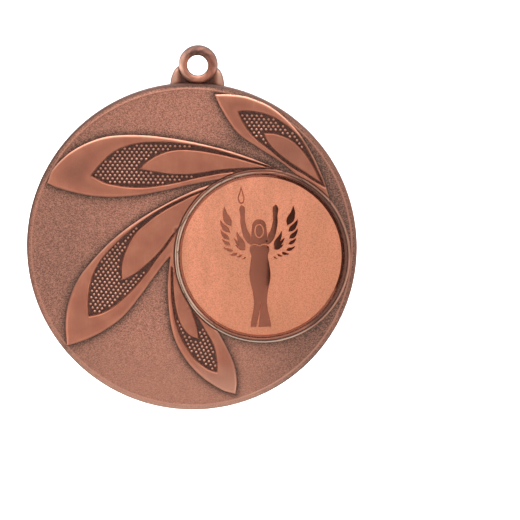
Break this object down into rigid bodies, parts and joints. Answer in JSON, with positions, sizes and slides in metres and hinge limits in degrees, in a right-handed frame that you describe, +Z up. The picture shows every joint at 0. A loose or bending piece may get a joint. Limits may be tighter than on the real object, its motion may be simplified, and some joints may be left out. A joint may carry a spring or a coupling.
{
  "type": "finisher medal",
  "caption": "Round cast sports medal with a hanging eye on top, a whorl of leaves in relief and a round stamped emblem set off centre.",
  "frame": {"origin": "centre of the hanging eye's bore", "axes": "+Z up as the medal hangs, +X to the right as it is seen from the front, and the front faces -Y"},
  "size_m": [0.05, 0.0034, 0.0555],
  "materials": {
    "antique_copper": "satin copper plating, antiqued dark in the recesses",
    "emblem_copper": "frosted ground with polished border and figure",
    "adhesive_foam": "matt"
  },
  "bodies": {
    "root": {"medal_casting": "antique_copper", "emblem_disc": "emblem_copper", "adhesive_pad": "adhesive_foam"}
  },
  "joints": []
}
